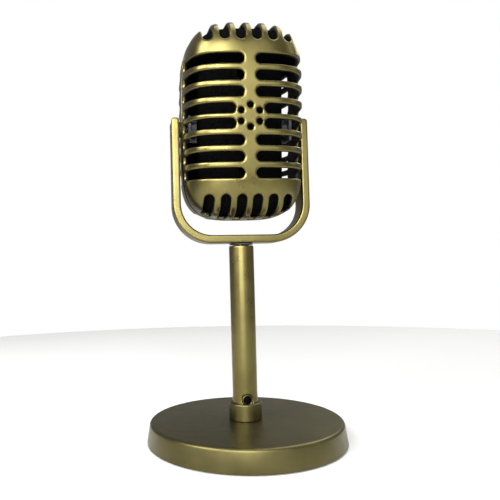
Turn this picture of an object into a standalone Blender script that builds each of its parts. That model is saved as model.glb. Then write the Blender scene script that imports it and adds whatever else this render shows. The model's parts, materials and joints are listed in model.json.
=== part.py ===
"""Vintage-style desk microphone: a slotted two-shell head that tilts in a flat-strap yoke,
on a tubular pole and a weighted round base.

The origin is the middle of the underside, +Z is up, and the microphone's face looks along -Y.
Sizes are in millimetres and MM turns them into metres. The head is modelled about its tilt axis,
under an empty that leans it forward to the angle it stands at.
"""
import math

import bmesh
import bpy
from mathutils import Matrix, Vector

MM = 0.001
GAP = 0.3                   # clearance kept between pieces that touch

# Base
BASE_R = 50.0
BASE_TOP_R = 48.7
BASE_H = 10.9
BASE_WALL = 2.0
BASE_EDGE_Z = 0.5           # the shell's rim hangs this far above the table
BASE_RIM_R = 1.0            # rounding of the upper edge
PAD_R = 46.5
PAD_T = 1.2
PLATE_R = 47.0
PLATE_T = 2.0
WEIGHT_R = 39.0
WEIGHT_HOLE_R = 12.0
PLATE_SCREWS = 3
PLATE_SCREW_RING_R = 43.0
PLATE_SCREW_R = 1.0
PLATE_SCREW_HEAD_R = 2.2
PLATE_SCREW_HEAD_H = 1.1
PLATE_SCREW_TOP = 7.5
BOSS_R = 3.0

# Pole and collar
POLE_R = 6.3
POLE_BORE_R = 5.1
POLE_BOTTOM = BASE_H + GAP
POLE_TOP = 98.8
COLLAR_R = 8.3
COLLAR_TOP = 19.4
OUTLET_Z = 21.1
OUTLET_R = 2.15
EYELET_WALL = 0.3
EYELET_Y = (-5.75, -4.5)
BOLT_R = 3.0
BOLT_HEAD_R = 5.5
BOLT_HEAD_H = 3.4
BOLT_TOP = 16.2
BASE_WASHER_R = 7.0
BASE_WASHER_T = 1.0
TOP_PLUG_H = 11.0
SWIVEL_SCREW_R = 1.9
SWIVEL_HEAD_R = 3.6
SINK_H = 1.7                # height of a countersunk screw's cone

# Yoke
YOKE_HALF_W = 35.3
YOKE_T = 4.05
YOKE_DEPTH = 13.1
YOKE_BOTTOM = 99.9
YOKE_TOP = 163.9
YOKE_CORNER_R = 20.0
YOKE_TIP_R = 1.2
PIVOT_Z = 159.1
PIVOT_R = 2.0
PIVOT_HEAD_R = 3.9
PIVOT_SCREW_START = 21.5
PIVOT_WASHER_R = 4.1

# Head, about the tilt axis
HEAD_LEAN = math.radians(5.3)
HEAD_HALF = (30.2, 31.1, 48.2)      # half width, half depth, half height
HEAD_ROUND = 3.5                    # superellipse power of the plan outline
WIDTH_CURVE = (5.3, 3.5)            # powers of the upright outline seen from the front
DEPTH_CURVE = (6.6, 4.3)            # and seen from the side
HEAD_RISE = 1.0                     # head centre above the tilt axis
ROSE_RISE = 1.4                     # middle of the rosette and the slot rows above the tilt axis
FRONT_INSET = 0.25                  # the front shell is this much smaller all round, as a step at the seam
SEAM_Y = -5.5                       # the seam is in front of the tilt axis
SHELL_WALL = 2.2
SLOT_H = 4.7
SLOT_ROWS = (3.54, 11.2, 18.86, 26.52)  # slot heights above and below the rosette's middle
RIB_HALF = 2.8                      # half width of the upright centre rib
ROSE_HALF = 6.8                     # the same where the rosette of holes is
FRONT_SLOT_END = -8.5               # the front shell's slots run round its sides to here
REAR_SLOT_END = 5.0                  # and the rear shell's slots to here
ROSE_R = 5.1
ROSE_HOLE_R = 1.45
FIN_SLOTS = (3.8, 11.45, 19.1)       # crown and chin slots, left and right of the middle
FIN_SLOT_W = 4.5
FIN_START = 36.0                    # where those slots begin, above and below the head centre
CHIN_SLOT_ENDS = (-10.0, 3.0)       # the chin slots stop here under the front and the rear shell
POST_Z = 22.7                       # shell screw posts above and below the rosette's middle
POST_R = 3.0
WELL_R = POST_R + 0.6
POST_END_Y = 11.5                   # the front shell's posts and the rear shell's wells meet here
SHELL_SCREW_R = 1.2
SHELL_SCREW_HEAD_R = 2.3
SCREW_SEAT_Y = 27.0                 # the heads sit in recesses this deep in the rear rib
FRAME_HALF_W = 26.8
FRAME_T = 1.3
FRAME_REACH = 6.0                   # half height of the frame, and how far its ears reach forward
WEB_Y = (4.2, 5.7)
NUT_R = 4.0
NUT_H = 3.0
FOAM_HALF = (21.5, 20.0)            # half width and half depth of the foam sleeve
FOAM_Z = (-31.2, 31.2)
FOAM_WALL = 2.5
FOAM_PLUG_START = 31.5              # the plugs fill the crown and the chin from here
CLOTH_HALF = (26.3, 27.8)           # half width and half depth of the curve the grille cloth follows
CLOTH_T = 0.8
CLOTH_Z = (-30.0, 31.0)
CLOTH_LEFT_Y = 6.6                  # the cloth starts here on the left, goes round the back, and ends
CLOTH_RIGHT_X = 19.5                # short of the right side
CAPSULE_R = 11.9


def clear_scene():
    for obj in list(bpy.data.objects):
        bpy.data.objects.remove(obj)


def material(name, colour, roughness, metallic):
    mat = bpy.data.materials.new(name)
    mat.use_nodes = True
    shader = mat.node_tree.nodes["Principled BSDF"]
    shader.inputs["Base Color"].default_value = (*colour, 1.0)
    shader.inputs["Roughness"].default_value = roughness
    shader.inputs["Metallic"].default_value = metallic
    return mat


def add_object(name, bm, mat=None, parent=None):
    """Turn a bmesh in millimetres into an object in metres."""
    bmesh.ops.recalc_face_normals(bm, faces=bm.faces)
    bmesh.ops.scale(bm, vec=Vector((MM, MM, MM)), verts=bm.verts)
    mesh = bpy.data.meshes.new(name)
    bm.to_mesh(mesh)
    bm.free()
    mesh.shade_smooth()
    mesh.set_sharp_from_angle(angle=math.radians(35))
    obj = bpy.data.objects.new(name, mesh)
    bpy.context.scene.collection.objects.link(obj)
    obj.parent = parent
    if mat:
        mesh.materials.append(mat)
    return obj


def add_cutter(name, bm, parent=None):
    obj = add_object(name, bm, parent=parent)
    obj.hide_render = True
    obj.display_type = 'WIRE'
    return obj


def boolean(obj, other, operation='DIFFERENCE'):
    mod = obj.modifiers.new(other.name, 'BOOLEAN')
    mod.operation = operation
    mod.solver = 'EXACT'
    mod.object = other


def turned(bm, profile, segments, place=None):
    """A solid of revolution about Z. The profile is a closed loop of (radius, z), or it starts and
    ends on the axis."""
    place = place or Matrix.Identity(4)
    rings = []
    for radius, z in profile:
        count = segments if radius > 0 else 1
        turn = 2 * math.pi / segments
        ring = [bm.verts.new(place @ Vector((radius * math.cos(i * turn), radius * math.sin(i * turn), z)))
                for i in range(count)]
        rings.append(ring)
    pairs = list(zip(rings, rings[1:]))
    if profile[0][0] > 0:
        pairs.append((rings[-1], rings[0]))
    for low, high in pairs:
        for i in range(segments):
            j = (i + 1) % segments
            corners = [low[i % len(low)], low[j % len(low)], high[j % len(high)], high[i % len(high)]]
            unique = list(dict.fromkeys(corners))
            if len(unique) > 2:
                bm.faces.new(unique)
    return bm


def rod(bm, radius, low, high, segments=16, place=None):
    return turned(bm, [(0, low), (radius, low), (radius, high), (0, high)], segments, place)


def ring(bm, inner, outer, low, high, segments=24, place=None):
    return turned(bm, [(inner, low), (outer, low), (outer, high), (inner, high)], segments, place)


def block(bm, low, high):
    size = Vector(high) - Vector(low)
    middle = (Vector(high) + Vector(low)) / 2
    bmesh.ops.create_cube(bm, size=1.0, matrix=Matrix.Translation(middle) @ Matrix.Diagonal((*size, 1.0)))
    return bm


def prism(bm, outline, low, high, place):
    """Extrude a flat outline of (u, v) points from low to high along w, then place it."""
    near = [bm.verts.new(place @ Vector((u, v, low))) for u, v in outline]
    far = [bm.verts.new(place @ Vector((u, v, high))) for u, v in outline]
    bm.faces.new(near)
    bm.faces.new(far)
    for i in range(len(outline)):
        j = (i + 1) % len(outline)
        bm.faces.new((near[i], near[j], far[j], far[i]))
    return bm


def along_x(origin=(0, 0, 0), side=1):
    """Send +Z to +X, or to -X for side -1."""
    return Matrix.Translation(origin) @ Matrix.Rotation(side * math.pi / 2, 4, 'Y')


def along_y(origin=(0, 0, 0)):
    """Send +Z to +Y, keeping the first axis."""
    return Matrix.Translation(origin) @ Matrix.Rotation(-math.pi / 2, 4, 'X')


def arc(centre, radius, start, end, steps):
    """Points on an arc, angles in degrees, both ends included."""
    points = []
    for i in range(steps + 1):
        angle = math.radians(start + (end - start) * i / steps)
        points.append((centre[0] + radius * math.cos(angle), centre[1] + radius * math.sin(angle)))
    return points


def stadium(half_u, half_v, steps=3):
    """A slot outline whose ends, along u, are round."""
    straight = half_u - half_v
    return arc((straight, 0), half_v, -90, 90, steps) + arc((-straight, 0), half_v, 90, 270, steps)


# ---------------------------------------------------------------- base

def base_screw_places():
    turn = 2 * math.pi / PLATE_SCREWS
    for i in range(PLATE_SCREWS):
        angle = math.pi / 2 + i * turn
        yield Matrix.Translation((PLATE_SCREW_RING_R * math.cos(angle), PLATE_SCREW_RING_R * math.sin(angle), 0))


def make_base_shell(mat):
    inner_top = BASE_H - BASE_WALL
    profile = [(BOLT_R + GAP, inner_top), (BASE_TOP_R - BASE_WALL, inner_top), (BASE_R - BASE_WALL, BASE_EDGE_Z),
               (BASE_R, BASE_EDGE_Z)]
    profile += arc((BASE_TOP_R - BASE_RIM_R, BASE_H - BASE_RIM_R), BASE_RIM_R, 0, 90, 3)
    profile += [(BOLT_R + GAP, BASE_H)]
    shell = add_object("base_shell", turned(bmesh.new(), profile, 64), mat)
    bosses = bmesh.new()
    holes = bmesh.new()
    for place in base_screw_places():
        rod(bosses, BOSS_R, PAD_T + PLATE_T + 2 * GAP, inner_top + BASE_WALL / 2, 12, place)
        rod(holes, PLATE_SCREW_R + GAP, 0, inner_top - GAP, 8, place)
    boolean(shell, add_cutter("boss_guide", bosses), 'UNION')
    boolean(shell, add_cutter("boss_hole_cutter", holes))


def make_base_fittings(mats):
    add_object("base_pad", rod(bmesh.new(), PAD_R, 0, PAD_T, 48), mats["rubber"])
    plate_low = PAD_T + GAP
    plate_high = plate_low + PLATE_T
    plate = add_object("base_bottom_plate", rod(bmesh.new(), PLATE_R, plate_low, plate_high, 48), mats["steel"])
    holes = bmesh.new()
    seat = plate_low + PLATE_SCREW_HEAD_H
    recess_r = PLATE_SCREW_HEAD_R + 0.4
    bore_r = PLATE_SCREW_R + 0.5
    for place in base_screw_places():
        turned(holes, [(0, 0), (recess_r, 0), (recess_r, seat + GAP), (bore_r, seat + GAP),
                       (bore_r, plate_high + 1), (0, plate_high + 1)], 12, place)
    boolean(plate, add_cutter("plate_hole_cutter", holes))
    for i, place in enumerate(base_screw_places()):
        profile = [(0, plate_low), (PLATE_SCREW_HEAD_R, plate_low), (PLATE_SCREW_HEAD_R, seat),
                   (PLATE_SCREW_R, seat), (PLATE_SCREW_R, PLATE_SCREW_TOP), (0, PLATE_SCREW_TOP)]
        add_object(f"plate_screw_{i + 1}", turned(bmesh.new(), profile, 12, place), mats["steel"])
    weight_high = BASE_H - BASE_WALL - GAP
    add_object("base_weight", ring(bmesh.new(), WEIGHT_HOLE_R, WEIGHT_R, plate_high + GAP, weight_high, 40),
               mats["iron"])
    washer_low = weight_high - BASE_WASHER_T
    washer = ring(bmesh.new(), BOLT_R + GAP, BASE_WASHER_R, washer_low, weight_high, 20)
    add_object("base_washer", washer, mats["steel"])
    head_high = washer_low - GAP
    head_low = head_high - BOLT_HEAD_H
    bolt = [(0, head_low), (BOLT_HEAD_R, head_low), (BOLT_HEAD_R, head_high), (BOLT_R, head_high),
            (BOLT_R, BOLT_TOP), (0, BOLT_TOP)]
    add_object("base_bolt", turned(bmesh.new(), bolt, 6), mats["steel"])


# ---------------------------------------------------------------- pole

def make_pole(mats):
    low = POLE_BOTTOM
    edge = 0.6
    tube_profile = [(POLE_BORE_R, low), (POLE_R, low), (POLE_R, POLE_TOP - edge), (POLE_R - edge, POLE_TOP),
                    (POLE_BORE_R, POLE_TOP)]
    tube = add_object("pole_tube", turned(bmesh.new(), tube_profile, 32), mats["bronze"])
    eyelet_r = OUTLET_R + EYELET_WALL
    outlet = rod(bmesh.new(), eyelet_r + GAP, -POLE_R - 2, 0, 16, along_y((0, 0, OUTLET_Z)))
    boolean(tube, add_cutter("outlet_cutter", outlet))
    eyelet = ring(bmesh.new(), OUTLET_R, eyelet_r, EYELET_Y[0], EYELET_Y[1], 16,
                  along_y((0, 0, OUTLET_Z)))
    add_object("cable_eyelet", eyelet, mats["bronze"])
    collar_edge = 0.7
    collar = [(POLE_R + GAP, low), (COLLAR_R, low), (COLLAR_R, COLLAR_TOP - collar_edge),
              (COLLAR_R - collar_edge, COLLAR_TOP), (POLE_R + GAP, COLLAR_TOP)]
    add_object("pole_collar", turned(bmesh.new(), collar, 32), mats["bronze"])
    plug_r = POLE_BORE_R - GAP
    foot = ring(bmesh.new(), BOLT_R + GAP, plug_r, low, BOLT_TOP + 1, 20)
    add_object("pole_foot_plug", foot, mats["steel"])
    plug = ring(bmesh.new(), SWIVEL_SCREW_R + GAP, plug_r, POLE_TOP - TOP_PLUG_H, POLE_TOP - GAP, 20)
    add_object("pole_top_plug", plug, mats["steel"])
    washer = ring(bmesh.new(), SWIVEL_SCREW_R + GAP, POLE_R - 0.3, POLE_TOP + GAP, YOKE_BOTTOM - GAP, 24)
    add_object("swivel_washer", washer, mats["rubber"])
    screw_top = YOKE_BOTTOM + YOKE_T - 0.2
    screw_low = POLE_TOP - TOP_PLUG_H + 1
    screw = [(0, screw_low), (SWIVEL_SCREW_R, screw_low), (SWIVEL_SCREW_R, screw_top - SINK_H),
             (SWIVEL_HEAD_R, screw_top), (0, screw_top)]
    add_object("swivel_screw", turned(bmesh.new(), screw, 16), mats["steel"])


# ---------------------------------------------------------------- yoke

def yoke_outline():
    """The strap seen from the front: a U with round corners and slightly rounded tips."""
    inner_w = YOKE_HALF_W - YOKE_T
    inner_r = YOKE_CORNER_R - YOKE_T
    bar_top = YOKE_BOTTOM + YOKE_T
    corner_x = YOKE_HALF_W - YOKE_CORNER_R
    corner_z = YOKE_BOTTOM + YOKE_CORNER_R
    tip_z = YOKE_TOP - YOKE_TIP_R
    right = arc((corner_x, corner_z), YOKE_CORNER_R, -90, 0, 7)
    right += arc((YOKE_HALF_W - YOKE_TIP_R, tip_z), YOKE_TIP_R, 0, 90, 2)
    right += arc((inner_w + YOKE_TIP_R, tip_z), YOKE_TIP_R, 90, 180, 2)
    right += arc((corner_x, bar_top + inner_r), inner_r, 0, -90, 7)
    left = [(-x, z) for x, z in reversed(right)]
    return right + left


def make_yoke(mats):
    half = YOKE_DEPTH / 2
    middle = Vector((0, 0, YOKE_BOTTOM))
    outline = [(x, YOKE_BOTTOM - z) for x, z in yoke_outline()]
    yoke = add_object("yoke", prism(bmesh.new(), outline, -half, half, along_y()), mats["bronze"])
    yoke.location = middle * MM
    bevel = yoke.modifiers.new("edges", 'BEVEL')
    bevel.width = 0.5 * MM
    bevel.segments = 1
    bevel.limit_method = 'ANGLE'
    bevel.angle_limit = math.radians(60)
    holes = bmesh.new()
    bore_r = PIVOT_R + GAP
    sink_r = PIVOT_HEAD_R + 0.4
    sink_x = YOKE_HALF_W - SINK_H - GAP
    for side in (-1, 1):
        head = [(0, 20), (bore_r, 20), (bore_r, sink_x), (sink_r, YOKE_HALF_W), (sink_r, YOKE_HALF_W + 2),
                (0, YOKE_HALF_W + 2)]
        turned(holes, head, 16, along_x((0, 0, PIVOT_Z), side))
    bar_top = YOKE_BOTTOM + YOKE_T
    bar_bore_r = SWIVEL_SCREW_R + GAP
    bar_sink_r = SWIVEL_HEAD_R + 0.4
    bar_hole = [(0, YOKE_BOTTOM - 2), (bar_bore_r, YOKE_BOTTOM - 2), (bar_bore_r, bar_top - SINK_H - 0.1),
                (bar_sink_r, bar_top), (bar_sink_r, bar_top + 2), (0, bar_top + 2)]
    turned(holes, bar_hole, 16)
    boolean(yoke, add_cutter("yoke_hole_cutter", holes))


# ---------------------------------------------------------------- head

def signed_power(value, power):
    return math.copysign(abs(value) ** power, value)


def pebble(bm, half, centre_z, columns=32, rows=16):
    """The head's rounded-box form: superellipse in plan and upright."""
    rings = []
    for row in range(rows + 1):
        share = signed_power(math.sin(math.pi * (row / rows - 0.5)), 2 / WIDTH_CURVE[0])
        pole = row in (0, rows)
        z = half[2] * share
        width, depth = (max(0, 1 - abs(share) ** high) ** (1 / low) for high, low in (WIDTH_CURVE, DEPTH_CURVE))
        points = []
        for column in range(1 if pole else columns):
            turn = 2 * math.pi * (column + 0.5) / columns
            x = 0 if pole else half[0] * width * signed_power(math.cos(turn), 2 / HEAD_ROUND)
            y = 0 if pole else half[1] * depth * signed_power(math.sin(turn), 2 / HEAD_ROUND)
            points.append(bm.verts.new((x, y, z + centre_z)))
        rings.append(points)
    for low, high in zip(rings, rings[1:]):
        for i in range(columns):
            j = (i + 1) % columns
            corners = [low[i % len(low)], low[j % len(low)], high[j % len(high)], high[i % len(high)]]
            bm.faces.new(list(dict.fromkeys(corners)))
    return bm


def slot_cutter(side_y, pivot):
    """All the openings of one shell. side_y is -1 for the front and 1 for the rear."""
    bm = bmesh.new()
    reach = HEAD_HALF[1] + 6
    stop = FRONT_SLOT_END if side_y < 0 else REAR_SLOT_END
    for index, height in enumerate(SLOT_ROWS):
        inner = ROSE_HALF if index == 0 else RIB_HALF
        for sign_z in (-1, 1):
            z = ROSE_RISE + sign_z * height
            for sign_x in (-1, 1):
                wide = stadium(20, SLOT_H / 2)
                place = along_y((sign_x * (inner + 20), 0, z))
                low, high = sorted((stop, side_y * reach))
                prism(bm, wide, low, high, place)
    for x in FIN_SLOTS:
        for sign_x in (-1, 1):
            for sign_z in (-1, 1):
                half_l = 10
                place = along_y((sign_x * x, 0, HEAD_RISE + sign_z * (FIN_START + half_l)))
                upright = [(v, u) for u, v in stadium(half_l, FIN_SLOT_W / 2)]
                start = SEAM_Y - side_y * 2 if sign_z > 0 else CHIN_SLOT_ENDS[(side_y + 1) // 2]
                low, high = sorted((start, side_y * reach))
                prism(bm, upright, low, high, place)
    name = "front_slot_cutter" if side_y < 0 else "rear_slot_cutter"
    return add_cutter(name, bm, pivot)


def rose_places():
    for i in range(6):
        angle = math.radians(90 + 60 * i)
        yield (ROSE_R * math.cos(angle), 0, ROSE_RISE + ROSE_R * math.sin(angle))


def make_shell(name, side_y, mats, pivot):
    half = [h - (FRONT_INSET if side_y < 0 else 0) for h in HEAD_HALF]
    shell = add_object(name, pebble(bmesh.new(), half, HEAD_RISE), mats["bronze"], pivot)
    inner_half = [h - SHELL_WALL for h in half]
    boolean(shell, add_cutter(name + "_inner_cutter", pebble(bmesh.new(), inner_half, HEAD_RISE), pivot))
    low, high = sorted((SEAM_Y - side_y * 60, SEAM_Y + side_y * GAP / 2))
    half_space = block(bmesh.new(), (-60, low, -80), (60, high, 80))
    boolean(shell, add_cutter(name + "_seam_cutter", half_space, pivot))
    boolean(shell, slot_cutter(side_y, pivot))
    return shell


def shell_screw_heights():
    return [ROSE_RISE + sign * POST_Z for sign in (-1, 1)]


def make_front_shell(mats, pivot):
    shell = make_shell("front_shell", -1, mats, pivot)
    posts = bmesh.new()
    holes = bmesh.new()
    for z in shell_screw_heights():
        rod(posts, POST_R, -HEAD_HALF[1] + SHELL_WALL - 0.8, POST_END_Y, 12, along_y((0, 0, z)))
        rod(holes, SHELL_SCREW_R + GAP, -6, 20, 8, along_y((0, 0, z)))
    for place in rose_places():
        rod(holes, ROSE_HOLE_R, -40, -20, 10, along_y(place))
    rod(holes, PIVOT_R + GAP, -40, 40, 12, along_x())
    boolean(shell, add_cutter("front_post_guide", posts, pivot), 'UNION')
    boolean(shell, add_cutter("front_hole_cutter", holes, pivot))


def make_rear_shell(mats, pivot):
    shell = make_shell("rear_shell", 1, mats, pivot)
    bore_r = SHELL_SCREW_R + GAP
    recess_r = SHELL_SCREW_HEAD_R + GAP
    wells = bmesh.new()
    holes = bmesh.new()
    for z in shell_screw_heights():
        rod(wells, WELL_R, POST_END_Y + GAP, HEAD_HALF[1] - 1.2, 12, along_y((0, 0, z)))
        turned(holes, [(0, 5), (bore_r, 5), (bore_r, SCREW_SEAT_Y), (recess_r, SCREW_SEAT_Y), (recess_r, 40),
                       (0, 40)], 12, along_y((0, 0, z)))
    rod(holes, PIVOT_R + GAP, -40, 40, 12, along_x())
    boolean(shell, add_cutter("rear_well_guide", wells, pivot), 'UNION')
    boolean(shell, add_cutter("rear_hole_cutter", holes, pivot))
    under_head = SCREW_SEAT_Y + GAP
    head_top = SCREW_SEAT_Y + 2
    for label, z in zip(("lower", "upper"), shell_screw_heights()):
        profile = [(0, -4), (SHELL_SCREW_R, -4), (SHELL_SCREW_R, under_head), (SHELL_SCREW_HEAD_R, under_head),
                   (SHELL_SCREW_HEAD_R, head_top), (0, head_top)]
        screw = turned(bmesh.new(), profile, 12, along_y((0, 0, z)))
        add_object(f"shell_screw_{label}", screw, mats["steel"], pivot)


def make_pivots(mats, pivot):
    for label, side in (("left", -1), ("right", 1)):
        place = along_x((0, 0, 0), side)
        tip = YOKE_HALF_W - 0.3
        start = PIVOT_SCREW_START
        screw = [(0, start), (PIVOT_R, start), (PIVOT_R, tip - SINK_H), (PIVOT_HEAD_R, tip), (0, tip)]
        add_object(f"pivot_screw_{label}", turned(bmesh.new(), screw, 16, place), mats["steel"], pivot)
        inner_face = YOKE_HALF_W - YOKE_T
        washer = ring(bmesh.new(), PIVOT_R + GAP, PIVOT_WASHER_R, HEAD_HALF[0] + 0.2, inner_face - 0.25, 20, place)
        add_object(f"pivot_washer_{label}", washer, mats["rubber"], pivot)
        nut_high = FRAME_HALF_W - FRAME_T - GAP
        nut = bmesh.new()
        turned(nut, [(PIVOT_R + GAP, nut_high - NUT_H), (NUT_R, nut_high - NUT_H), (NUT_R, nut_high),
                     (PIVOT_R + GAP, nut_high)], 6, place)
        add_object(f"pivot_nut_{label}", nut, mats["iron"], pivot)


def make_frame(mats, pivot):
    """A channel across the head: its ears carry the pivots and its web carries the capsule."""
    web_low, web_high = WEB_Y
    inner = FRAME_HALF_W - FRAME_T
    outer = FRAME_HALF_W
    reach = FRAME_REACH
    outline = [(-outer, -reach), (-inner, -reach), (-inner, web_low), (inner, web_low), (inner, -reach),
               (outer, -reach), (outer, web_high), (-outer, web_high)]
    channel = prism(bmesh.new(), outline, -reach, reach, Matrix.Identity(4))
    frame = add_object("head_frame", channel, mats["plastic"], pivot)
    holes = rod(bmesh.new(), PIVOT_R + GAP, -40, 40, 12, along_x())
    boolean(frame, add_cutter("frame_hole_cutter", holes, pivot))


def oval(half_x, half_y, count, power=3.0):
    points = []
    for i in range(count):
        turn = 2 * math.pi * (i + 0.5) / count
        points.append((half_x * signed_power(math.cos(turn), 2 / power),
                       half_y * signed_power(math.sin(turn), 2 / power)))
    return points


def make_foam(mats, pivot):
    """A foam sleeve round the capsule, and plugs of foam that fill the crown and the chin."""
    low, high = FOAM_Z
    outline = oval(FOAM_HALF[0], FOAM_HALF[1], 24)
    foam = add_object("foam_sleeve", prism(bmesh.new(), outline, low, high, Matrix.Identity(4)), mats["foam"], pivot)
    hollow = oval(FOAM_HALF[0] - FOAM_WALL, FOAM_HALF[1] - FOAM_WALL, 24)
    core = prism(bmesh.new(), hollow, low - 5, high + 5, Matrix.Identity(4))
    boolean(foam, add_cutter("foam_core_cutter", core, pivot))
    openings = block(bmesh.new(), (-30, WEB_Y[0] - 0.5, -FRAME_REACH - 0.5), (30, WEB_Y[1] + 0.5, FRAME_REACH + 0.5))
    for z in shell_screw_heights():
        rod(openings, WELL_R + 0.5, -30, 30, 12, along_y((0, 0, z)))
    boolean(foam, add_cutter("foam_opening_cutter", openings, pivot))
    plug_half = [h - FRONT_INSET - SHELL_WALL - 0.4 for h in HEAD_HALF]
    for name, sign in (("chin_foam", -1), ("crown_foam", 1)):
        plug = add_object(name, pebble(bmesh.new(), plug_half, HEAD_RISE, rows=24), mats["foam"], pivot)
        low, high = sorted((sign * FOAM_PLUG_START, -sign * 80))
        rest = block(bmesh.new(), (-60, -60, low), (60, 60, high))
        boolean(plug, add_cutter(name + "_cutter", rest, pivot))


def cloth_curve(half_x, half_y, steps=20):
    """The cloth's path seen from above, from its left end round the back to its right end."""
    start = math.pi - math.asin((CLOTH_LEFT_Y / half_y) ** (HEAD_ROUND / 2))
    end = math.acos((CLOTH_RIGHT_X / half_x) ** (HEAD_ROUND / 2))
    points = []
    for i in range(steps + 1):
        turn = start + (end - start) * i / steps
        points.append((half_x * signed_power(math.cos(turn), 2 / HEAD_ROUND),
                       half_y * signed_power(math.sin(turn), 2 / HEAD_ROUND)))
    return points


def make_cloth(mats, pivot):
    """Black grille cloth that lines the rear shell's slots."""
    outer = cloth_curve(CLOTH_HALF[0], CLOTH_HALF[1])
    inner = cloth_curve(CLOTH_HALF[0] - CLOTH_T, CLOTH_HALF[1] - CLOTH_T)
    strip = prism(bmesh.new(), outer + inner[::-1], CLOTH_Z[0], CLOTH_Z[1], Matrix.Identity(4))
    cloth = add_object("grille_cloth", strip, mats["cloth"], pivot)
    holes = bmesh.new()
    for z in shell_screw_heights():
        rod(holes, WELL_R + 0.5, 10, 40, 12, along_y((0, 0, z)))
    boolean(cloth, add_cutter("cloth_hole_cutter", holes, pivot))


def make_capsule(mats, pivot):
    """A moving-coil capsule facing forward, in a rubber ring in a cup screwed to the frame's web."""
    place = along_y()
    cup_r = CAPSULE_R + 3.1
    cup_in = cup_r - 1.6
    cup_back = WEB_Y[0] - GAP
    cup_floor = cup_back - 1.5
    cup_front = -12.0
    wire_hole_r = 5.0
    holder = [(wire_hole_r, cup_floor), (cup_in, cup_floor), (cup_in, cup_front), (cup_r, cup_front),
              (cup_r, cup_back), (wire_hole_r, cup_back)]
    add_object("capsule_holder", turned(bmesh.new(), holder, 32, place), mats["plastic"], pivot)
    shock = ring(bmesh.new(), CAPSULE_R + GAP, cup_in - GAP, cup_front + 1, cup_floor - 0.4, 32, place)
    add_object("shock_ring", shock, mats["rubber"], pivot)
    can_in = CAPSULE_R - 1
    can_back = 2.0
    can_front = -11.4
    vent_r = 2.0
    housing = [(vent_r, can_back - 1), (can_in, can_back - 1), (can_in, can_front), (CAPSULE_R, can_front),
               (CAPSULE_R, can_back), (vent_r, can_back)]
    add_object("capsule_housing", turned(bmesh.new(), housing, 32, place), mats["steel"], pivot)
    magnet_r = 6.0
    magnet_front = -5.5
    cap_front = -7.0
    add_object("magnet", rod(bmesh.new(), magnet_r, magnet_front, can_back - 1 - GAP, 20, place), mats["iron"], pivot)
    add_object("magnet_cap", rod(bmesh.new(), magnet_r, cap_front, magnet_front - GAP, 20, place), mats["steel"], pivot)
    membrane_back = -9.7
    coil = ring(bmesh.new(), magnet_r + 0.4, magnet_r + 1, membrane_back + GAP, magnet_front, 20, place)
    add_object("voice_coil", coil, mats["copper"], pivot)
    membrane = rod(bmesh.new(), can_in - 0.4, membrane_back - 0.6, membrane_back, 24, place)
    add_object("diaphragm", membrane, mats["plastic"], pivot)
    sound_hole_r = 1.5
    cap_back = can_front - GAP
    cap = [(sound_hole_r, cap_back - 1.5), (CAPSULE_R, cap_back - 1.5), (CAPSULE_R, cap_back),
           (sound_hole_r, cap_back)]
    add_object("capsule_cap", turned(bmesh.new(), cap, 24, place), mats["plastic"], pivot)


def make_materials():
    return {
        "bronze": material("bronze", (0.36, 0.31, 0.13), 0.38, 1.0),
        "steel": material("steel", (0.55, 0.55, 0.55), 0.35, 1.0),
        "iron": material("iron", (0.18, 0.18, 0.19), 0.6, 0.8),
        "rubber": material("rubber", (0.03, 0.03, 0.03), 0.8, 0.0),
        "plastic": material("plastic", (0.04, 0.04, 0.045), 0.45, 0.0),
        "foam": material("foam", (0.02, 0.02, 0.02), 0.95, 0.0),
        "cloth": material("cloth", (0.02, 0.02, 0.02), 0.9, 0.0),
        "copper": material("copper", (0.72, 0.36, 0.2), 0.4, 1.0),
    }


def main():
    clear_scene()
    mats = make_materials()
    make_base_shell(mats["bronze"])
    make_base_fittings(mats)
    make_pole(mats)
    make_yoke(mats)
    pivot = bpy.data.objects.new("tilt_axis", None)
    bpy.context.scene.collection.objects.link(pivot)
    pivot.location = (0, 0, PIVOT_Z * MM)
    pivot.rotation_euler = (HEAD_LEAN, 0, 0)
    make_front_shell(mats, pivot)
    make_rear_shell(mats, pivot)
    make_pivots(mats, pivot)
    make_frame(mats, pivot)
    make_foam(mats, pivot)
    make_cloth(mats, pivot)
    make_capsule(mats, pivot)


main()
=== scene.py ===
"""The finished looks of a vintage-style desk microphone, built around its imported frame.

Lengths in the making of each piece are in millimetres, and MM turns them into metres. The cast
pieces (the two head shells, the yoke and the pole) are solids given by a distance field: a formula
that is negative inside the metal. cast_piece() meshes the field's zero surface and takes the
normals from the field, so that every slot lip is a true rounded edge.
"""
import itertools
import json
import math

import bmesh
import bpy
import numpy as np
from mathutils import Matrix, Vector


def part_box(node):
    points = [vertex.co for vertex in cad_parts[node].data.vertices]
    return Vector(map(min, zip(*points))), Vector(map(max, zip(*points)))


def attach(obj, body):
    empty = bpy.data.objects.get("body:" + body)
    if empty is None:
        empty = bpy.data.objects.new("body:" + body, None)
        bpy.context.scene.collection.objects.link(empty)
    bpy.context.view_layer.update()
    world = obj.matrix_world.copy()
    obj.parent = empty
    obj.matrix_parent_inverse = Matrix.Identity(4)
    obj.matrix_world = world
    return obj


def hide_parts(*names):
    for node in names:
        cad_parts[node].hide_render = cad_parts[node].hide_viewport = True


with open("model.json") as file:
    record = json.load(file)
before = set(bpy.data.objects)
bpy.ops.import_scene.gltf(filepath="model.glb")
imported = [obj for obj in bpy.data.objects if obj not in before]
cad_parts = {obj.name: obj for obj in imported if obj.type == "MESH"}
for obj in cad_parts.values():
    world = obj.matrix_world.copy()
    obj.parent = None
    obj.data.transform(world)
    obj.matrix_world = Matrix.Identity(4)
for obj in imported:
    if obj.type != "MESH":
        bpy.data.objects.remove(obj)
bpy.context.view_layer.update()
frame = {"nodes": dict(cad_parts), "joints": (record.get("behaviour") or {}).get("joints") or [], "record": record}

MM = 0.001
NODES = frame["nodes"]
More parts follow.
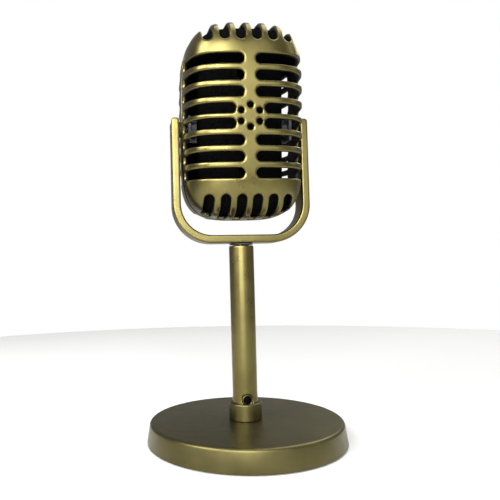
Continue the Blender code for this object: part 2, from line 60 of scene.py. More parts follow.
SLOT_OF = {part["node"]: part["material_slot"] for part in frame["record"]["subparts"]}
JOINTS = {joint["name"]: joint for joint in frame["joints"]}

# Head, about the tilt axis. X is to the right, Y to the rear and Z up.
PIVOT = Vector(JOINTS["head_tilt"]["pos_m"])
HEAD_LEAN = math.radians(5.3)
HEAD_PLACE = Matrix.Translation(PIVOT) @ Matrix.Rotation(HEAD_LEAN, 4, 'X')
HEAD_HALF = np.array((30.2, 31.1, 48.2))
PLAN_POWER = 3.5            # superellipse powers: seen from above, of the width, and of the depth
WIDTH_POWER = 5.3
DEPTH_POWERS = (6.6, 4.3)
HEAD_RISE = 1.0             # the head's middle is this far above the tilt axis
ROSE_RISE = 1.4             # and the middle of the slots and the rosette this far
FRONT_INSET = 0.25
SEAM_Y = -5.5               # the front shell and the rear shell meet here
SHELL_WALL = 2.2
SLOT_H = 4.7
SLOT_ROWS = (3.54, 11.2, 18.86, 26.52)  # heights of the slots above and below the rosette's middle
RIB_HALF = 2.8              # half the width of the upright rib between the slots
ROSE_HALF = 6.8             # and where it widens for the rosette
FRONT_SLOT_END = -8.5
REAR_SLOT_END = 5.0
ROSE_R = 5.1
ROSE_HOLE_R = 1.45
FIN_SLOTS = (3.8, 11.45, 19.1)  # sideways places of the crown and chin slots
FIN_SLOT_W = 4.5
FIN_START = 36.0            # height where they start
CHIN_SLOT_ENDS = {-1: -10.0, 1: 3.0}    # the chin slots stop here under the front and the rear shell
LIP = 1.0                   # softness of a slot's rounded lip
SHADE_DEPTH = 1.0           # the bronze reaches this far into the slots, and deeper faces get painted shade, near black
SCREW_Z = 22.7              # shell screws above and below the rosette's middle
SCREW_SEAT_Y = 27.0
WELL_R = 3.6                # the collar inside the rear shell that each shell screw sits in
WELL_HALF = 2.6             # half its length
SCREW_RECESS_R = 2.6
SCREW_BORE_R = 1.5
SEAM_GAP = 0.1              # each shell keeps this clear of the seam
PIVOT_HOLE_R = 2.3
FOAM_PLUG_START = 31.5      # the foam plugs fill the crown and the chin from here
FOAM_GAP = 0.1              # between a plug and the shell's inner wall
FAR = 1e3                   # a distance beyond every piece

# Fineness of the cast pieces' meshes
SHELL_STEP = 0.7
YOKE_STEP = 0.8
POLE_STEP = 0.6
FOAM_STEP = 1.2


# ---------------------------------------------------------------- fields

def soft_max(a, b, k):
    """The larger of two fields, with the crease between them rounded over about k."""
    overlap = np.maximum(k - np.abs(a - b), 0) / k
    return np.maximum(a, b) + overlap * overlap * k / 4


def soft_min(a, b, k):
    """The smaller of two fields, with the same rounding."""
    return -soft_max(-a, -b, k)


def pebble_field(x, y, z, half):
    """Distance to the head's rounded-box form, close to the surface."""
    u, v, w = (np.abs(c) / h for c, h in zip((x, y, z), half))
    n = PLAN_POWER
    depth_share = np.clip(1 - w ** DEPTH_POWERS[0], 1e-9, None) ** (n / DEPTH_POWERS[1])
    ratio = np.clip(1 - w ** WIDTH_POWER, 0, None) / depth_share
    value = u ** n + v ** n * ratio + w ** WIDTH_POWER - 1
    slope_x = n * u ** (n - 1) / half[0]
    slope_y = n * v ** (n - 1) * ratio / half[1]
    slope_z = WIDTH_POWER * w ** (WIDTH_POWER - 1) / half[2]
    return value / np.sqrt(slope_x ** 2 + slope_y ** 2 + slope_z ** 2 + 1e-8)


def slot_field(x, y, z, side_y):
    """Distance to the nearest slot of one shell. side_y is -1 for the front and 1 for the rear."""
    across = np.abs(x)
    half_h = SLOT_H / 2
    stop = (FRONT_SLOT_END if side_y < 0 else REAR_SLOT_END) + side_y * half_h
    past_end = np.maximum(side_y * (stop - y), 0)
    nearest = np.full(np.shape(x), FAR)
    for index, height in enumerate(SLOT_ROWS):
        start = (ROSE_HALF if index == 0 else RIB_HALF) + half_h
        past_start = np.maximum(start - across, 0)
        for sign in (-1, 1):
            off = z - ROSE_RISE - sign * height
            off = np.sqrt(past_start ** 2 + past_end ** 2 + off ** 2)
            nearest = np.minimum(nearest, off - half_h)
    half_w = FIN_SLOT_W / 2
    past_start = np.maximum(FIN_START + half_w - np.abs(z - HEAD_RISE), 0)
    chin_stop = CHIN_SLOT_ENDS[side_y] + side_y * half_w
    past_end = np.where(z < HEAD_RISE, np.maximum(side_y * (chin_stop - y), 0), 0)
    for place in FIN_SLOTS:
        off = np.sqrt((across - place) ** 2 + past_start ** 2 + past_end ** 2)
        nearest = np.minimum(nearest, off - half_w)
    return nearest


def rose_field(x, z):
    """Distance to the nearest of the six round holes."""
    nearest = np.full(np.shape(x), FAR)
    for i in range(6):
        angle = math.radians(90 + 60 * i)
        hole = np.hypot(x - ROSE_R * math.cos(angle), z - ROSE_RISE - ROSE_R * math.sin(angle))
        nearest = np.minimum(nearest, hole - ROSE_HOLE_R)
    return nearest


def shell_half(side_y):
    """Half sizes of one shell's outside. The front one is set in a little."""
    return HEAD_HALF - (FRONT_INSET if side_y < 0 else 0)


def shell_field(x, y, z, side_y):
    """One of the head's two shells, with its slots, pivot holes, and rosette or screw wells."""
    half = shell_half(side_y)
    rise = z - HEAD_RISE
    inner = pebble_field(x, y, rise, half - SHELL_WALL)
    field = soft_max(pebble_field(x, y, rise, half), -inner, 0.4)
    if side_y > 0:
        for sign in (-1, 1):
            axis = np.hypot(x, z - ROSE_RISE - sign * SCREW_Z)
            well = np.maximum(axis - WELL_R, np.abs(y - SCREW_SEAT_Y) - WELL_HALF)
            field = soft_min(field, well, 0.6)
            recess = np.maximum(axis - SCREW_RECESS_R, SCREW_SEAT_Y - y)
            field = soft_max(field, -np.minimum(recess, axis - SCREW_BORE_R), 0.5)
    field = soft_max(field, -slot_field(x, y, z, side_y), LIP)
    if side_y < 0:
        rose = np.where(y < 0, rose_field(x, z), FAR)
        field = soft_max(field, -rose, 0.7)
    field = soft_max(field, -side_y * (y - SEAM_Y) + SEAM_GAP, 0.7)
    return soft_max(field, PIVOT_HOLE_R - np.hypot(y, z), 0.5)


YOKE_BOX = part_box("yoke")
YOKE_HALF_W = YOKE_BOX[1].x / MM
YOKE_BOTTOM = YOKE_BOX[0].z / MM
YOKE_TOP = YOKE_BOX[1].z / MM
YOKE_HALF_D = YOKE_BOX[1].y / MM
YOKE_T = 4.05
YOKE_CORNER_R = 20.0
ARM_SINK = 2.0              # depth of the countersink in each arm
ARM_SINK_END = 2.5
BAR_HOLE_R = 2.2
BAR_SINK = 1.8              # depth of the countersink in the bar
BAR_SINK_END = 2.3
COUNTERSINK = math.sqrt(0.5)    # turns a 45 degree cone's offset into a distance


def yoke_field(x, y, z):
    """A flat strap bent into a U, drilled for the two pivots and the swivel screw."""
    half_t = YOKE_T / 2
    bend = YOKE_CORNER_R - half_t
    across = np.abs(x) - (YOKE_HALF_W - half_t - bend)
    below = YOKE_BOTTOM + half_t + bend - z
    corner = np.hypot(np.maximum(across, 0), np.maximum(below, 0))
    line = corner + np.minimum(np.maximum(across, below), 0) - bend
    field = np.abs(line) - half_t
    field = soft_max(field, z - YOKE_TOP, 1.6)
    field = soft_max(field, np.abs(y) - YOKE_HALF_D, 0.9)
    arm_axis = np.hypot(y, z - PIVOT.z / MM)
    arm_sink = (arm_axis - PIVOT_HOLE_R - (np.abs(x) - YOKE_HALF_W + ARM_SINK)) * COUNTERSINK
    arm_sink = np.maximum(arm_sink, YOKE_HALF_W - ARM_SINK_END - np.abs(x))
    arm_hole = np.minimum(arm_axis - PIVOT_HOLE_R, arm_sink)
    field = soft_max(field, -arm_hole, 0.35)
    bar_axis = np.hypot(x, y)
    bar_top = YOKE_BOTTOM + YOKE_T
    bar_sink = (bar_axis - BAR_HOLE_R - (z - bar_top + BAR_SINK)) * COUNTERSINK
    bar_sink = np.maximum(bar_sink, bar_top - BAR_SINK_END - z)
    bar_hole = np.minimum(bar_axis - BAR_HOLE_R, bar_sink)
    bar_hole = np.where(z < bar_top + 3, bar_hole, FAR)
    return soft_max(field, -bar_hole, 0.35)


POLE_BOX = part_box("pole_tube")
POLE_R = POLE_BOX[1].x / MM
POLE_BORE_R = 5.1
BORE_SHADE_DEPTH = 0.8        # the pole's bronze stops this far below its surface, and the bore below gets painted shade, near black
EYELET_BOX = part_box("cable_eyelet")
OUTLET_Z = (EYELET_BOX[0].z + EYELET_BOX[1].z) / 2 / MM
OUTLET_R = 2.15
EYELET_WALL = 0.55
EYELET_GAP = 0.1            # between the eyelet and the hole it sits in
COLLAR_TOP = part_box("pole_collar")[1].z / MM
FLARE = 0.22                # the pole widens this much where it enters the collar
FLARE_H = 1.8


def pole_field(x, y, z):
    """The tube, with a rounded top edge, a flared foot and the cable's outlet."""
    radius = np.hypot(x, y)
    flare = FLARE * np.exp(-np.maximum(z - COLLAR_TOP, 0) / FLARE_H)
    field = soft_max(radius - POLE_R - flare, POLE_BORE_R - radius, 0.2)
    field = soft_max(field, z - POLE_BOX[1].z / MM, 1.1)
    field = np.maximum(field, POLE_BOX[0].z / MM - z)
    outlet = np.hypot(x, z - OUTLET_Z) - OUTLET_R - EYELET_WALL - EYELET_GAP
    outlet = np.where(y < 0, outlet, FAR)
    return soft_max(field, -outlet, 0.4)


# ---------------------------------------------------------------- meshing

def grid_slice(offset):
    """The part of a grid that holds one corner of each cell."""
    return tuple(slice(1, None) if o else slice(None, -1) for o in offset)


def net_points(values, low, step):
    """One point in each grid cell that the surface crosses, at the mean of its edge crossings."""
    inside = values < 0
    corners = list(itertools.product((0, 1), repeat=3))
    count = sum(inside[grid_slice(c)].astype(np.int8) for c in corners)
    mixed = (count > 0) & (count < 8)
    cells = np.argwhere(mixed)
    index = np.full(mixed.shape, -1)
    index[mixed] = np.arange(len(cells))
    total = np.zeros((len(cells), 3))
    crossings = np.zeros(len(cells))
    for start in corners:
        for axis in range(3):
            if start[axis]:
                continue
            end = [c + (a == axis) for a, c in enumerate(start)]
            first = values[grid_slice(start)][mixed]
            last = values[grid_slice(end)][mixed]
            cut = (first < 0) != (last < 0)
            share = np.where(cut, first / np.where(cut, first - last, 1), 0)
            point = np.tile(np.array(start, float), (len(cells), 1))
            point[:, axis] += share
            total += point * cut[:, None]
            crossings += cut
    return low + (cells + total / crossings[:, None]) * step, index, inside


def net_faces(index, inside):
    """A quad round each grid edge that the surface crosses, facing out of the solid."""
    faces = []
    for axis in range(3):
        one, two = (axis + 1) % 3, (axis + 2) % 3
        here = [slice(1, -1)] * 3
        ahead = [slice(1, -1)] * 3
        here[axis] = slice(None, -1)
        ahead[axis] = slice(1, None)
        first, last = inside[tuple(here)], inside[tuple(ahead)]
        edges = np.argwhere(first != last)
        leaving = first[first != last]
        edges[:, one] += 1
        edges[:, two] += 1
        corners = []
        for back_one, back_two in ((1, 1), (0, 1), (0, 0), (1, 0)):
            cell = edges.copy()
            cell[:, one] -= back_one
            cell[:, two] -= back_two
            corners.append(index[tuple(cell.T)])
        quads = np.stack(corners, 1)
        quads[~leaving] = quads[~leaving][:, ::-1]
        faces.append(quads)
    return np.concatenate(faces)


def slope(field, points, reach=0.02):
    """The field's gradient at points."""
    gradient = np.empty_like(points)
    for axis in range(3):
        shift = np.zeros(3)
        shift[axis] = reach
        gradient[:, axis] = (field(*(points + shift).T) - field(*(points - shift).T)) / (2 * reach)
    return gradient


def settle(field, points, step, rounds=4):
    """Moves points onto the field's zero surface, and returns them with the surface's normals."""
    for _ in range(rounds):
        gradient = slope(field, points)
        square = np.maximum((gradient ** 2).sum(1), 0.05)
        move = -(field(*points.T) / square)[:, None] * gradient
        length = np.linalg.norm(move, axis=1)
        points = points + move * np.minimum(1, 0.4 * step / np.maximum(length, 1e-9))[:, None]
    gradient = slope(field, points)
    return points, gradient / np.maximum(np.linalg.norm(gradient, axis=1), 1e-9)[:, None]


def relax(points, faces, rounds=3):
    """Evens out the net, so that no face is a sliver."""
    ends = np.concatenate([faces[:, [i, (i + 1) % 4]] for i in range(4)])
    ends = np.concatenate([ends, ends[:, ::-1]])
    count = np.maximum(np.bincount(ends[:, 0], minlength=len(points)), 1)[:, None]
    for _ in range(rounds):
        sums = [np.bincount(ends[:, 0], points[ends[:, 1], axis], len(points)) for axis in range(3)]
        points = points + 0.5 * (np.stack(sums, 1) / count - points)
    return points


def cast_piece(name, field, low, high, step, place=None):
    """Meshes a field between two corners, in millimetres, and puts the piece in its place."""
    low, high = np.array(low, float), np.array(high, float)
    axes = [np.arange(a, b + step, step) for a, b in zip(low, high)]
    values = field(*np.meshgrid(*axes, indexing="ij"))
    points, index, inside = net_points(values, low, step)
    faces = net_faces(index, inside)
    points, normals = settle(field, relax(points, np.array(faces)), step)
    mesh = bpy.data.meshes.new(name)
    mesh.from_pydata(points * MM, [], faces)
    if place:
        mesh.transform(place)
        normals = normals @ np.array(place.to_3x3()).T
    mesh.shade_smooth()
    mesh.normals_split_custom_set_from_vertices(normals)
    obj = bpy.data.objects.new(name, mesh)
    bpy.context.scene.collection.objects.link(obj)
    return obj


def turned(name, profile, segments=96, place=None, sharp=40):
    """A solid of revolution about Z, in millimetres.

    The profile is a closed loop of (radius, z), or a line that starts and ends on the axis.
    """
    bm = bmesh.new()
    rings = []
    for radius, z in profile:
        turns = [2 * math.pi * i / segments for i in range(segments if radius > 0 else 1)]
        rings.append([bm.verts.new((radius * math.cos(t), radius * math.sin(t), z)) for t in turns])
    pairs = list(zip(rings, rings[1:]))
    if profile[0][0] > 0:
        pairs.append((rings[-1], rings[0]))
    for low, high in pairs:
        for i in range(segments):
            j = (i + 1) % segments
            corners = [low[i % len(low)], low[j % len(low)], high[j % len(high)], high[i % len(high)]]
            bm.faces.new(list(dict.fromkeys(corners)))
    bmesh.ops.recalc_face_normals(bm, faces=bm.faces)
    mesh = bpy.data.meshes.new(name)
    bm.to_mesh(mesh)
    bm.free()
    mesh.transform(Matrix.Scale(MM, 4))
    if place:
        mesh.transform(place)
    mesh.shade_smooth()
    mesh.set_sharp_from_angle(angle=math.radians(sharp))
    obj = bpy.data.objects.new(name, mesh)
    bpy.context.scene.collection.objects.link(obj)
    return obj


def arc(centre, radius, start, end, steps=8):
    """Points along an arc, from one angle in degrees to another."""
    points = []
    for i in range(steps + 1):
        angle = math.radians(start + (end - start) * i / steps)
        points.append((centre[0] + radius * math.cos(angle), centre[1] + radius * math.sin(angle)))
    return points


# ---------------------------------------------------------------- materials

def shader_of(mat):
    """The material's main shader node."""
    return mat.node_tree.nodes["Principled BSDF"]


def plain_material(name, colour, roughness, metallic):
    """A material of one even colour."""
    mat = bpy.data.materials.new(name)
    mat.use_nodes = True
    shader = shader_of(mat)
    shader.inputs["Base Color"].default_value = (*colour, 1)
    shader.inputs["Roughness"].default_value = roughness
    shader.inputs["Metallic"].default_value = metallic
    return mat


def noise(mat, scale, detail=4.0):
    """A noise texture in object space, in repeats per metre."""
    nodes, links = mat.node_tree.nodes, mat.node_tree.links
    place = nodes.new("ShaderNodeTexCoord")
    texture = nodes.new("ShaderNodeTexNoise")
    texture.inputs["Scale"].default_value = scale
    texture.inputs["Detail"].default_value = detail
    texture.inputs["Roughness"].default_value = 0.6
    links.new(place.outputs["Object"], texture.inputs["Vector"])
    return texture.outputs["Fac"]


def ramp(mat, source, stops):
    """Turns a noise into a blend of colours."""
    node = mat.node_tree.nodes.new("ShaderNodeValToRGB")
    for i, (position, colour) in enumerate(stops):
        stop = node.color_ramp.elements[i] if i < 2 else node.color_ramp.elements.new(position)
        stop.position = position
        stop.color = (*colour, 1)
    mat.node_tree.links.new(source, node.inputs["Fac"])
    return node.outputs["Color"]


def spread(mat, source, low, high):
    """Maps a noise's useful middle, 0.3 to 0.7, onto low to high."""
    node = mat.node_tree.nodes.new("ShaderNodeMapRange")
    node.inputs["From Min"].default_value = 0.3
    node.inputs["From Max"].default_value = 0.7
    node.inputs["To Min"].default_value = low
    node.inputs["To Max"].default_value = high
    mat.node_tree.links.new(source, node.inputs["Value"])
    return node.outputs["Result"]


def bump(mat, source, height_mm):
    """Lets a noise roughen the surface by so many millimetres."""
    node = mat.node_tree.nodes.new("ShaderNodeBump")
    node.inputs["Distance"].default_value = height_mm * MM
    node.inputs["Strength"].default_value = 1.0
    mat.node_tree.links.new(source, node.inputs["Height"])
    mat.node_tree.links.new(node.outputs["Normal"], shader_of(mat).inputs["Normal"])


def bronze_material(name, dark, light, roughness):
    """Satin bronze lacquer: drifting tone, a fine metal-flake grain, and a slightly uneven sheen."""
    mat = plain_material(name, light, roughness, 1.0)
    links = mat.node_tree.links
    shader = shader_of(mat)
    tone = ramp(mat, noise(mat, 45, 5.0), [(0.32, dark), (0.62, light)])
    grain = ramp(mat, noise(mat, 2600, 2.0), [(0.3, (0.93, 0.93, 0.93)), (0.7, (1, 1, 1))])
    mix = mat.node_tree.nodes.new("ShaderNodeMix")
    mix.data_type = 'RGBA'
    mix.blend_type = 'MULTIPLY'
    mix.inputs["Factor"].default_value = 1.0
    links.new(tone, mix.inputs["A"])
    links.new(grain, mix.inputs["B"])
    links.new(mix.outputs["Result"], shader.inputs["Base Color"])
    sheen = spread(mat, noise(mat, 160, 4.0), roughness - 0.05, roughness + 0.05)
    links.new(sheen, shader.inputs["Roughness"])
    bump(mat, noise(mat, 900, 2.0), 0.003)
    return mat


def grained_material(name, colour, roughness, metallic, scale, height_mm, vary, specular):
    """A plain stuff with a grain: its tone, sheen and bump follow noise of the given scale."""
    mat = plain_material(name, colour, roughness, metallic)
    links = mat.node_tree.links
    shader = shader_of(mat)
    shader.inputs["Specular IOR Level"].default_value = specular
    darker = tuple(c * (1 - vary) for c in colour)
    tone = ramp(mat, noise(mat, scale), [(0.35, darker), (0.65, colour)])
    links.new(tone, shader.inputs["Base Color"])
    sheen = spread(mat, noise(mat, scale / 3), roughness - 0.06, min(1.0, roughness + 0.06))
    links.new(sheen, shader.inputs["Roughness"])
    bump(mat, noise(mat, scale * 1.5), height_mm)
    return mat


BRONZES = (
    # name, darker tone, lighter tone, roughness
    ("bronze", (0.130, 0.110, 0.038), (0.172, 0.147, 0.053), 0.31),
    ("base_bronze", (0.092, 0.079, 0.031), (0.122, 0.106, 0.043), 0.38),
)
GRAINED = (
    # name, colour, roughness, metallic, noise repeats per metre, bump in mm, tone change, specular
    ("steel", (0.50, 0.50, 0.49), 0.34, 1.0, 900, 0.01, 0.25, 0.5),
    ("iron", (0.045, 0.045, 0.047), 0.55, 0.4, 500, 0.08, 0.25, 0.5),
    ("rubber", (0.030, 0.030, 0.031), 0.75, 0.0, 1200, 0.02, 0.25, 0.5),
    # painted shade: the near black for the shells' inner faces, their slot walls and the pole's bore
    ("painted_shade_black", (0.006, 0.006, 0.006), 0.6, 0.0, 1500, 0.01, 0.25, 0.2),
    ("cloth", (0.004, 0.004, 0.004), 0.95, 0.0, 2600, 0.2, 0.6, 0.05),
    ("plastic", (0.035, 0.035, 0.038), 0.45, 0.0, 1500, 0.01, 0.25, 0.5),
    ("foam", (0.003, 0.003, 0.003), 0.98, 0.0, 900, 0.3, 0.7, 0.02),
    ("copper", (0.70, 0.33, 0.18), 0.38, 1.0, 2000, 0.01, 0.25, 0.5),
)
MATERIALS = {row[0]: bronze_material(*row) for row in BRONZES}
MATERIALS.update({row[0]: grained_material(*row) for row in GRAINED})


def finish_piece(obj, node, body, material=None):
    """Gives a detailed piece its material, and lets it stand for its CAD node."""
    obj.data.materials.clear()
    obj.data.materials.append(MATERIALS[material or SLOT_OF[node]])
    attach(obj, body)
    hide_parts(node)
    return obj


# ---------------------------------------------------------------- pieces

def paint_shade(piece, shaded):
    """Puts painted shade, a near-black material, in place of bronze on the faces the mask marks."""
    piece.data.materials.append(MATERIALS["painted_shade_black"])
    piece.data.polygons.foreach_set("material_index", shaded.astype(np.int32))


def face_centres(piece):
    """The middle of each face, in millimetres."""
    flat = np.empty(3 * len(piece.data.polygons))
    piece.data.polygons.foreach_get("center", flat)
    return flat.reshape(-1, 3) / MM


def shade_inside(shell, side_y):
    """Paints shade, near black, on the shell's inner faces and the slot walls deeper than the bronze."""
    to_head = np.array(HEAD_PLACE.inverted())
    x, y, z = (face_centres(shell) @ to_head[:3, :3].T + to_head[:3, 3] / MM).T
    depth = -pebble_field(x, y, z - HEAD_RISE, shell_half(side_y))
    paint_shade(shell, depth > SHADE_DEPTH)


def make_shells():
    """The head's front and rear shells."""
    margin = 1.5
    half = HEAD_HALF + margin
    for label, side in (("front", -1), ("rear", 1)):
        def field(x, y, z):
            return shell_field(x, y, z, side)
        near, far = sorted((SEAM_Y - side * margin, side * half[1]))
        low = (-half[0], near, HEAD_RISE - half[2])
        high = (half[0], far, HEAD_RISE + half[2])
        shell = cast_piece(f"{label}_grille_shell", field, low, high, SHELL_STEP, HEAD_PLACE)
        finish_piece(shell, f"{label}_shell", "head")
        # painted shade, near black, on the inner faces and deep slot walls
        shade_inside(shell, side)


def make_foam():
    """The foam plugs press against the shells, so that no daylight passes beside them."""
    half = shell_half(-1) - SHELL_WALL - FOAM_GAP
    for node, sign in (("chin_foam", -1), ("crown_foam", 1)):
        def field(x, y, z):
            outside = pebble_field(x, y, z - HEAD_RISE, half)
            return soft_max(outside, FOAM_PLUG_START - sign * z, 0.5)
        ends = sorted((sign * (FOAM_PLUG_START - 2), sign * (half[2] + 3)))
        low = (-half[0] - 2, -half[1] - 2, ends[0])
        high = (half[0] + 2, half[1] + 2, ends[1])
        plug = cast_piece(node + "_plug", field, low, high, FOAM_STEP, HEAD_PLACE)
        finish_piece(plug, node, "head")


def make_yoke():
    """The strap that holds the head."""
    margin = 1.5
    low = (-YOKE_HALF_W - margin, -YOKE_HALF_D - margin, YOKE_BOTTOM - margin)
    high = (YOKE_HALF_W + margin, YOKE_HALF_D + margin, YOKE_TOP + margin)
    finish_piece(cast_piece("yoke_strap", yoke_field, low, high, YOKE_STEP), "yoke", "yoke")


def make_pole():
    """The tube, with painted shade, near black, in its bore, and the eyelet of the cable's outlet."""
    low = (-POLE_R - 1, -POLE_R - 1, POLE_BOX[0].z / MM - 1)
    high = (POLE_R + 1, POLE_R + 1, POLE_BOX[1].z / MM + 1)
    pole = cast_piece("pole", pole_field, low, high, POLE_STEP)
    finish_piece(pole, "pole_tube", "stand")
    centres = face_centres(pole)
    # painted shade, near black, on the faces of the bore
    paint_shade(pole, np.hypot(centres[:, 0], centres[:, 1]) < POLE_R - BORE_SHADE_DEPTH)
    front = -POLE_R + 0.1
    back = EYELET_BOX[1].y / MM
    place = Matrix.Translation((0, 0, OUTLET_Z * MM)) @ Matrix.Rotation(-math.pi / 2, 4, 'X')
    rim = EYELET_WALL / 2
    profile = [(OUTLET_R, back), (OUTLET_R, front + rim)]
    profile += arc((OUTLET_R + rim, front + rim), rim, 180, 360, 8) + [(OUTLET_R + 2 * rim, back)]
    eyelet = turned("outlet_eyelet", profile, 64, place)
    finish_piece(eyelet, "cable_eyelet", "stand")


def make_collar():
    """The ring at the pole's foot."""
    low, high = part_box("pole_collar")
    bottom, top, outer = low.z / MM, high.z / MM, high.x / MM
    inner = POLE_R + 0.3
    lip = 0.45
    profile = [(inner, bottom), (outer, bottom)]
    profile += arc((outer - 2 * lip, top - 2 * lip), 2 * lip, 0, 90)
    profile += arc((inner + lip, top - lip), lip, 90, 180)
    finish_piece(turned("base_collar", profile, 96), "pole_collar", "stand", "base_bronze")


def make_base():
    """The tapered cover, with a rounded upper rim."""
    low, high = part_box("base_shell")
    outer, bottom, top = high.x / MM, low.z / MM, high.z / MM
    taper = 1.3
    top_r = outer - taper
    wall = 2.0
    rim = 1.6
    foot = 0.4
    hole = 3.3
    profile = [(hole, top - wall), (top_r - wall, top - wall)]
    profile += [(outer - wall, bottom), (outer - foot, bottom)]
    profile += arc((outer - foot, bottom + foot), foot, -90, 0, 4)[1:]
    profile += arc((top_r - rim, top - rim), rim, 6, 90, 8)
    profile += [(POLE_R + 3.6, top), (hole, top)]
    finish_piece(turned("base_cover", profile, 192), "base_shell", "stand", "base_bronze")


SHAFT_L = 9.0
RECESS_W = 0.45
RECESS_SPAN = 1.1           # the recess is this many head radii across
RECESS_BLOCK_H = 1.0        # of which half cuts into the head


def screw_profile(shaft_r, head_r, top, sink, pan):
    """Half the outline of a screw, whose head is countersunk or, with pan, flat underneath."""
    profile = [(0, top - SHAFT_L), (shaft_r, top - SHAFT_L), (shaft_r, top - sink)]
    if pan:
        profile += [(head_r, top - sink), (head_r, top - 0.5), (head_r - 0.3, top - 0.15)]
    else:
        profile += [(head_r, top - 0.1)]
    return profile + [(head_r - 0.45, top), (0, top)]


def cut_cross(screw, place, head_r, head_top):
    """Cuts a cross recess into the head of a screw."""
    recess = bmesh.new()
    span = head_r * RECESS_SPAN
    for width, length in ((RECESS_W, span), (span, RECESS_W)):
        blade = Matrix.Translation((0, 0, head_top))
        blade = blade @ Matrix.Diagonal((width, length, RECESS_BLOCK_H, 1))
        bmesh.ops.create_cube(recess, size=1.0, matrix=blade)
    mesh = bpy.data.meshes.new(screw.name + "_recess")
    recess.to_mesh(mesh)
    recess.free()
    mesh.transform(place @ Matrix.Scale(MM, 4))
    cutter = bpy.data.objects.new(screw.name + "_recess", mesh)
    bpy.context.scene.collection.objects.link(cutter)
    cut = screw.modifiers.new("recess", 'BOOLEAN')
    cut.solver = 'EXACT'
    cut.use_self = True
    cut.object = cutter
    bpy.context.view_layer.update()
    cut_screw = screw.evaluated_get(bpy.context.evaluated_depsgraph_get())
    solid = bpy.data.meshes.new_from_object(cut_screw)
    screw.modifiers.clear()
    screw.data = solid
    bpy.data.objects.remove(cutter)


def cross_screw(name, node, body, place, shaft_r, head_r, head_top, sink, pan=False):
    """A screw with a cross recess, its head's middle on +Z of place."""
    screw = turned(name, screw_profile(shaft_r, head_r, head_top, sink, pan), 40, place)
    cut_cross(screw, place, head_r, head_top)
    finish_piece(screw, node, body)


def make_screws():
    """The screws whose heads are seen. Their lengths and places are in the frames of their pieces."""
    for side, label in ((-1, "left"), (1, "right")):
        turn = Matrix.Rotation(side * math.pi / 2, 4, 'Y')
        cross_screw(f"tilt_screw_{label}", f"pivot_screw_{label}", "head", HEAD_PLACE @ turn,
                    1.9, 3.8, YOKE_HALF_W - 0.3, 1.8)
    along_y = Matrix.Rotation(-math.pi / 2, 4, 'X')
    for sign, label in ((-1, "lower"), (1, "upper")):
        middle = Matrix.Translation((0, 0, (ROSE_RISE + sign * SCREW_Z) * MM))
        cross_screw(f"rear_screw_{label}", f"shell_screw_{label}", "head",
                    HEAD_PLACE @ middle @ along_y, 1.2, 2.3, 29.0, 1.7, pan=True)
    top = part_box("swivel_screw")[1].z / MM
    cross_screw("yoke_screw", "swivel_screw", "stand", Matrix.Identity(4), 1.9, 3.5, top, 1.8)


def dress_cad_nodes():
    """Nodes whose shape is right keep it, and take the finer material of their slot."""
    for name, obj in NODES.items():
        if obj.hide_render:
            continue
        for slot in obj.material_slots:
            slot.material = MATERIALS[SLOT_OF[name]]


# ---------------------------------------------------------------- stage

FLOOR_R = 0.6
FLOOR_TONE = (0.66, 0.66, 0.65)
LIGHT_TARGET = Vector((0, 0, 0.12))
SOFT_BOXES = (
    # name, azimuth, elevation, distance in m, width, height, watts
    ("key", -17, 17, 0.9, 0.66, 0.58, 14),
    ("window", -60, 27, 0.9, 0.50, 0.56, 10),
    ("front", 20, 10, 1.1, 0.50, 0.34, 1.2),
    ("right", 75, 25, 1.1, 0.4, 0.7, 1.0),
    ("top", 100, 78, 1.2, 0.9, 0.9, 8),
    ("back", 130, 40, 1.2, 0.7, 0.5, 4),
)
CAMERA_AT = (-0.0544, -0.2711, 0.084)
CAMERA_HEADING, CAMERA_PITCH, CAMERA_ROLL = 0.105, 0.05, -0.022


def make_floor():
    """A plain pale disc."""
    mesh = bpy.data.meshes.new("floor")
    bm = bmesh.new()
    bmesh.ops.create_circle(bm, cap_ends=True, segments=96, radius=FLOOR_R)
    bm.to_mesh(mesh)
    bm.free()
    floor = bpy.data.objects.new("floor", mesh)
    bpy.context.scene.collection.objects.link(floor)
    mesh.materials.append(plain_material("floor_paint", FLOOR_TONE, 0.9, 0.0))
    shader_of(mesh.materials[0]).inputs["Specular IOR Level"].default_value = 0.0


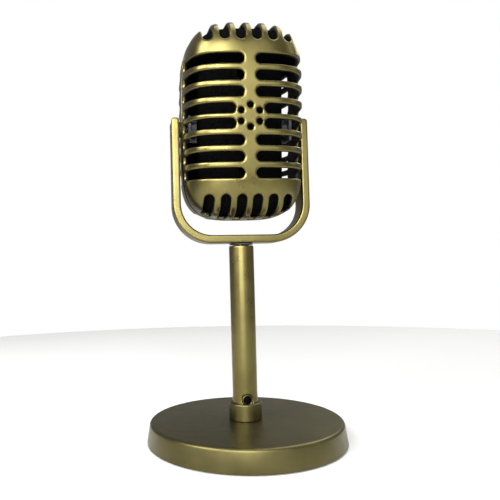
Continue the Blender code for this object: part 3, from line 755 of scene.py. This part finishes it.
def soft_box(name, azimuth, elevation, distance, width, height, power):
    """A soft box aimed at the microphone. Azimuth 0 is in front, and positive is to the right."""
    a, e = math.radians(azimuth), math.radians(elevation)
    away = Vector((math.sin(a) * math.cos(e), -math.cos(a) * math.cos(e), math.sin(e)))
    data = bpy.data.lights.new(name, 'AREA')
    data.shape = 'RECTANGLE'
    data.size = width
    data.size_y = height
    data.energy = power
    light = bpy.data.objects.new(name, data)
    light.location = LIGHT_TARGET + away * distance
    light.rotation_euler = away.to_track_quat('Z', 'Y').to_euler()
    bpy.context.scene.collection.objects.link(light)


def make_lights():
    """Soft boxes round the microphone, and a world that is white to the eye and grey as light."""
    for row in SOFT_BOXES:
        soft_box(*row)
    world = bpy.data.worlds.new("studio")
    world.use_nodes = True
    bpy.context.scene.world = world
    nodes, links = world.node_tree.nodes, world.node_tree.links
    rays = nodes.new("ShaderNodeLightPath")
    tone = nodes.new("ShaderNodeMix")
    tone.data_type = 'RGBA'
    tone.inputs["A"].default_value = (0.30, 0.30, 0.30, 1)
    tone.inputs["B"].default_value = (1, 1, 1, 1)
    links.new(rays.outputs["Is Camera Ray"], tone.inputs["Factor"])
    links.new(tone.outputs["Result"], nodes["Background"].inputs["Color"])


def make_camera():
    """The photographer stands a little left of the front and low, close to the microphone."""
    level = Vector((math.sin(CAMERA_HEADING), math.cos(CAMERA_HEADING), 0))
    ahead = level * math.cos(CAMERA_PITCH) + Vector((0, 0, math.sin(CAMERA_PITCH)))
    right = Vector((level.y, -level.x, 0))
    up = right.cross(ahead)
    image_x = right * math.cos(CAMERA_ROLL) + up * math.sin(CAMERA_ROLL)
    image_y = up * math.cos(CAMERA_ROLL) - right * math.sin(CAMERA_ROLL)
    turn = Matrix((image_x, image_y, -ahead)).transposed().to_4x4()
    data = bpy.data.cameras.new("camera")
    data.sensor_width = 36
    data.lens = 38.42
    data.shift_x = 0.117
    data.shift_y = -0.003
    data.clip_start = 0.01
    camera = bpy.data.objects.new("camera", data)
    camera.matrix_world = Matrix.Translation(CAMERA_AT) @ turn
    bpy.context.scene.collection.objects.link(camera)
    bpy.context.scene.camera = camera


make_camera()
make_shells()
make_foam()
make_yoke()
make_pole()
make_collar()
make_base()
make_screws()
dress_cad_nodes()
make_floor()
make_lights()
bpy.context.scene.view_settings.view_transform = 'Standard'
